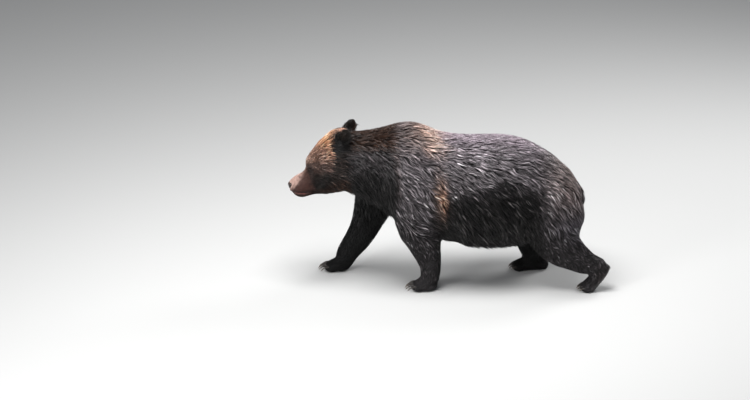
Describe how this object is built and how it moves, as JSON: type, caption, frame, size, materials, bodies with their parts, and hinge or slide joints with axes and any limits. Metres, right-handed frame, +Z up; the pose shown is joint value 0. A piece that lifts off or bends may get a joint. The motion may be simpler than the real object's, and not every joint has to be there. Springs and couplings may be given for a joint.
{
  "type": "grizzly bear",
  "caption": "Life-size still model of an adult grizzly bear walking, in a wet coat, head low, standing on its four feet.",
  "frame": {"origin": "middle of the bear's bounding box on the floor, under its soles", "axes": "-X the way the bear faces, -Y its left side, +Z up"},
  "size_m": [2.07, 0.6358, 1.0734],
  "materials": {
    "coat": "wet dark brown fur in parallel locks, tan on the face",
    "nose": "moist pebbled nose leather",
    "eye": "dark brown, glossy and wet",
    "claw": "dark horn with a dull sheen"
  },
  "bodies": {
    "root": {"ear_left": "coat", "ear_right": "coat", "eye_left": "eye", "eye_right": "eye", "foreleg_left": "coat", "foreleg_right": "coat", "forepaw_left": "coat", "forepaw_left_claw_1": "claw", "forepaw_left_claw_2": "claw", "forepaw_left_claw_3": "claw", "forepaw_left_claw_4": "claw", "forepaw_left_claw_5": "claw", "forepaw_right": "coat", "forepaw_right_claw_1": "claw", "forepaw_right_claw_2": "claw", "forepaw_right_claw_3": "claw", "forepaw_right_claw_4": "claw", "forepaw_right_claw_5": "claw", "head": "coat", "hindleg_left": "coat", "hindleg_right": "coat", "hindpaw_left": "coat", "hindpaw_left_claw_1": "claw", "hindpaw_left_claw_2": "claw", "hindpaw_left_claw_3": "claw", "hindpaw_left_claw_4": "claw", "hindpaw_left_claw_5": "claw", "hindpaw_right": "coat", "hindpaw_right_claw_1": "claw", "hindpaw_right_claw_2": "claw", "hindpaw_right_claw_3": "claw", "hindpaw_right_claw_4": "claw", "hindpaw_right_claw_5": "claw", "jaw": "coat", "neck": "coat", "nose": "nose", "tail": "coat", "trunk": "coat"}
  },
  "joints": []
}
